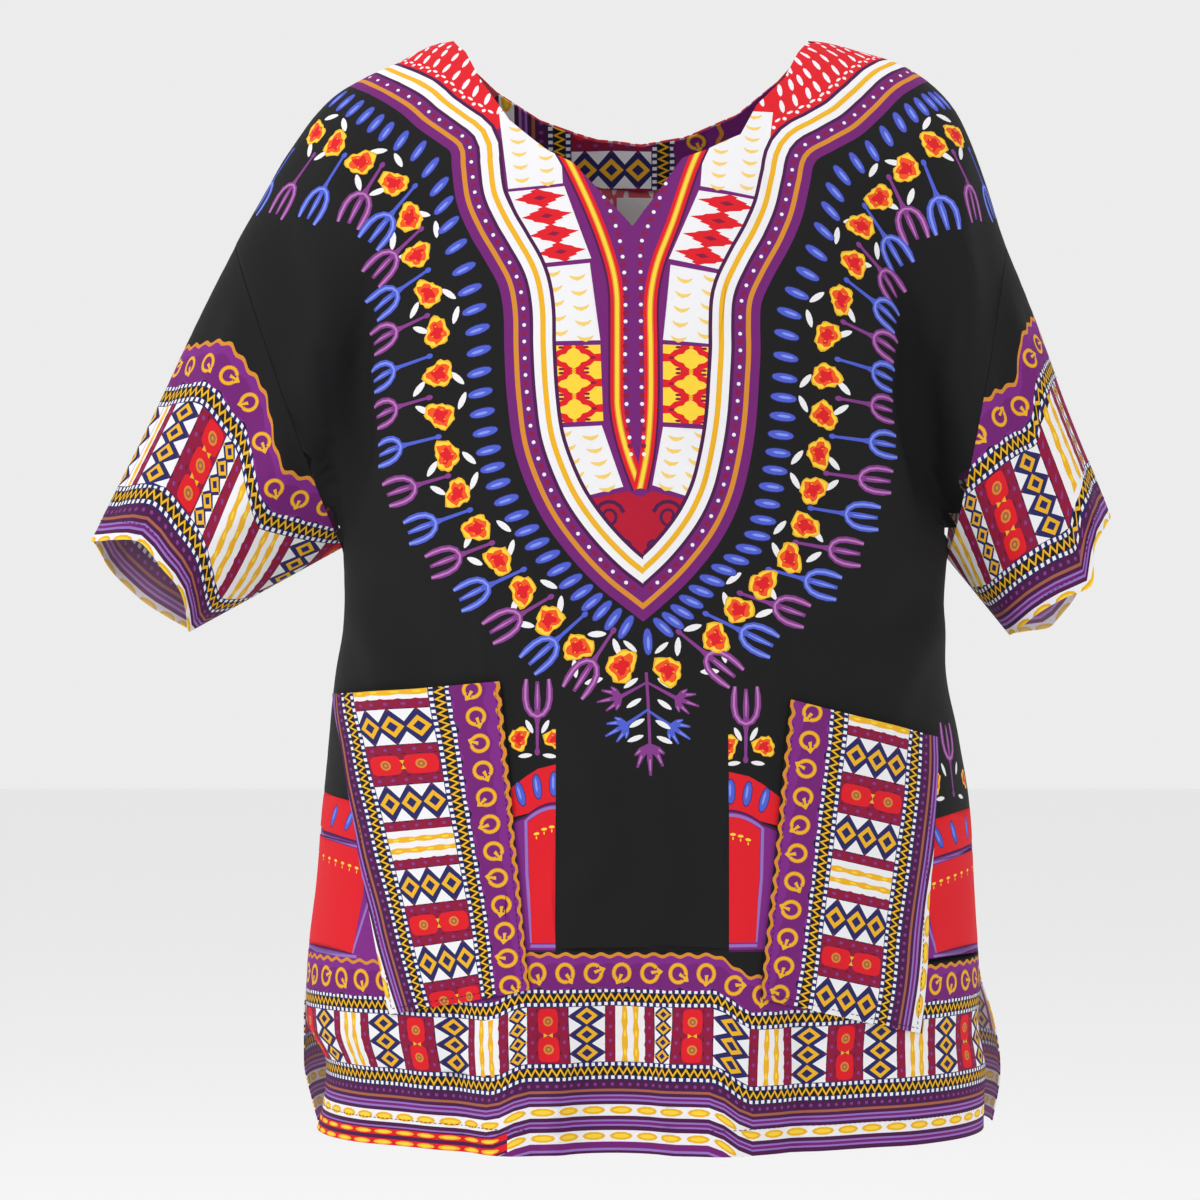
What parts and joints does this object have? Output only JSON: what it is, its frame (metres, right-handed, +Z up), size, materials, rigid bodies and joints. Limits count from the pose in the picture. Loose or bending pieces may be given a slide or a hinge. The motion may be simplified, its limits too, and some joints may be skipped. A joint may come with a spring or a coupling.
{
  "type": "dashiki shirt",
  "caption": "Loose hollow pullover shirt with round V-slit neck, short tapered sleeves, side vents and patch pockets, in border-printed cotton, filled out with no wearer.",
  "frame": {"origin": "midway between the two points where the shoulder seams meet the neck, in the plane between front and back, where the wearer's shoulders hold the shirt", "axes": "+Z up, the front of the shirt faces -Y, +X to the wearer's left"},
  "size_m": [0.695, 0.2844, 0.7393],
  "materials": {
    "printed_cotton": "matt plain-weave cotton with a wax-print figure",
    "label_tape": "smooth white woven tape, blank"
  },
  "bodies": {
    "root": {"front_panel": "printed_cotton", "back_panel": "printed_cotton", "sleeve_wearer_right": "printed_cotton", "sleeve_wearer_left": "printed_cotton", "pocket_wearer_right": "printed_cotton", "pocket_wearer_left": "printed_cotton", "back_neck_facing": "printed_cotton", "neck_label": "label_tape"}
  },
  "joints": []
}
